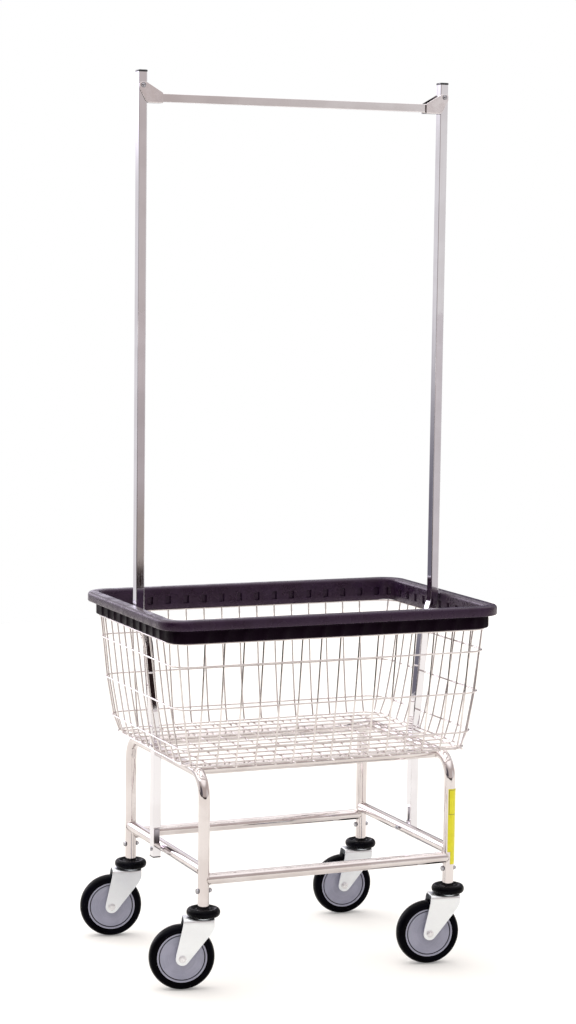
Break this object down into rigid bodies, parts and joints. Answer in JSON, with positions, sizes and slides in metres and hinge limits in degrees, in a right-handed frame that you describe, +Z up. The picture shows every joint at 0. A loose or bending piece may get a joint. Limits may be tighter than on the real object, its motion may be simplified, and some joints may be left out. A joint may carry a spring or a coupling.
{
  "type": "laundry cart",
  "caption": "Rolling wire laundry basket on a tubular frame with swivel casters, a soft rim bumper and two square poles carrying a hanging rail.",
  "frame": {"origin": "on the floor, under the centre of the box around the whole cart at rest", "axes": "+X to the cart's right along its long side, +Y from the front of the cart to its back, +Z up"},
  "size_m": [0.7195, 0.4984, 1.7435],
  "materials": {
    "frame_tube": "bright nickel-chrome plate on round steel tube, slightly warm",
    "basket_wire": "bright nickel-chrome plated welded steel wire",
    "rim": "soft dark aubergine-black vinyl bumper, satin, lightly mottled",
    "pole_chrome": "bright chrome plate on square steel tube, cool",
    "bar_chrome": "chrome plate on square steel tube",
    "bracket_plate": "zinc-chrome plated pressed sheet",
    "cap_plastic": "black moulded plastic",
    "bumper_rubber": "black moulded rubber ring",
    "bright_zinc": "bright zinc plate on pressed steel, fine grain",
    "fastener": "bright zinc plated fastener",
    "hub_plastic": "lilac-grey moulded wheel centre",
    "tyre": "black moulded rubber tread, satin",
    "label": "blank yellow vinyl strip"
  },
  "bodies": {
    "cart": {"left_end_frame": "frame_tube", "right_end_frame": "frame_tube", "left_lower_rail": "frame_tube", "right_lower_rail": "frame_tube", "front_top_rail": "frame_tube", "back_top_rail": "frame_tube", "front_lower_rail": "frame_tube", "back_lower_rail": "frame_tube", "basket_floor": "basket_wire", "basket_front": "basket_wire", "basket_back": "basket_wire", "basket_left": "basket_wire", "basket_right": "basket_wire", "rim_bumper": "rim", "left_pole": "pole_chrome", "left_pole_plug": "cap_plastic", "left_pole_cap": "cap_plastic", "left_pole_bolt": "fastener", "left_bar_bracket": "bracket_plate", "left_bracket_bolt": "fastener", "right_pole": "pole_chrome", "right_pole_plug": "cap_plastic", "right_pole_cap": "cap_plastic", "right_pole_bolt": "fastener", "right_bar_bracket": "bracket_plate", "right_bracket_bolt": "fastener", "hanger_bar": "bar_chrome", "leg_label": "label", "front_left_bumper": "bumper_rubber", "front_left_stem": "bright_zinc", "front_left_stem_bolt": "fastener", "back_left_bumper": "bumper_rubber", "back_left_stem": "bright_zinc", "back_left_stem_bolt": "fastener", "back_right_bumper": "bumper_rubber", "back_right_stem": "bright_zinc", "back_right_stem_bolt": "fastener", "front_right_bumper": "bumper_rubber", "front_right_stem": "bright_zinc", "front_right_stem_bolt": "fastener"},
    "front_left_swivel": {"front_left_fork": "bright_zinc", "front_left_axle_bolt": "fastener"},
    "front_left_wheel": {"front_left_wheel_hub": "hub_plastic", "front_left_tyre": "tyre"},
    "back_left_swivel": {"back_left_fork": "bright_zinc", "back_left_axle_bolt": "fastener"},
    "back_left_wheel": {"back_left_wheel_hub": "hub_plastic", "back_left_tyre": "tyre"},
    "back_right_swivel": {"back_right_fork": "bright_zinc", "back_right_axle_bolt": "fastener"},
    "back_right_wheel": {"back_right_wheel_hub": "hub_plastic", "back_right_tyre": "tyre"},
    "front_right_swivel": {"front_right_fork": "bright_zinc", "front_right_axle_bolt": "fastener"},
    "front_right_wheel": {"front_right_wheel_hub": "hub_plastic", "front_right_tyre": "tyre"}
  },
  "joints": [
    {"name": "front_left_caster_swivel", "type": "hinge", "parent": "cart", "child": "front_left_swivel", "pos_m": [-0.2566, -0.2065, 0.1412], "axis": [0, 0, 1], "continuous": true},
    {"name": "front_left_wheel_spin", "type": "hinge", "parent": "front_left_swivel", "child": "front_left_wheel", "pos_m": [-0.29615, -0.19568, 0.0635], "axis": [0.2639, 0.9646, 0], "continuous": true},
    {"name": "back_left_caster_swivel", "type": "hinge", "parent": "cart", "child": "back_left_swivel", "pos_m": [-0.2566, 0.2065, 0.1412], "axis": [0, 0, 1], "continuous": true},
    {"name": "back_left_wheel_spin", "type": "hinge", "parent": "back_left_swivel", "child": "back_left_wheel", "pos_m": [-0.29672, 0.21495, 0.0635], "axis": [0.2062, 0.9785, 0], "continuous": true},
    {"name": "back_right_caster_swivel", "type": "hinge", "parent": "cart", "child": "back_right_swivel", "pos_m": [0.2654, 0.2065, 0.1412], "axis": [0, 0, 1], "continuous": true},
    {"name": "back_right_wheel_spin", "type": "hinge", "parent": "back_right_swivel", "child": "back_right_wheel", "pos_m": [0.22465, 0.211, 0.0635], "axis": [0.1097, 0.994, 0], "continuous": true},
    {"name": "front_right_caster_swivel", "type": "hinge", "parent": "cart", "child": "front_right_swivel", "pos_m": [0.2654, -0.2065, 0.1412], "axis": [0, 0, 1], "continuous": true},
    {"name": "front_right_wheel_spin", "type": "hinge", "parent": "front_right_swivel", "child": "front_right_wheel", "pos_m": [0.225, -0.19952, 0.0635], "axis": [0.1702, 0.9854, 0], "continuous": true}
  ]
}
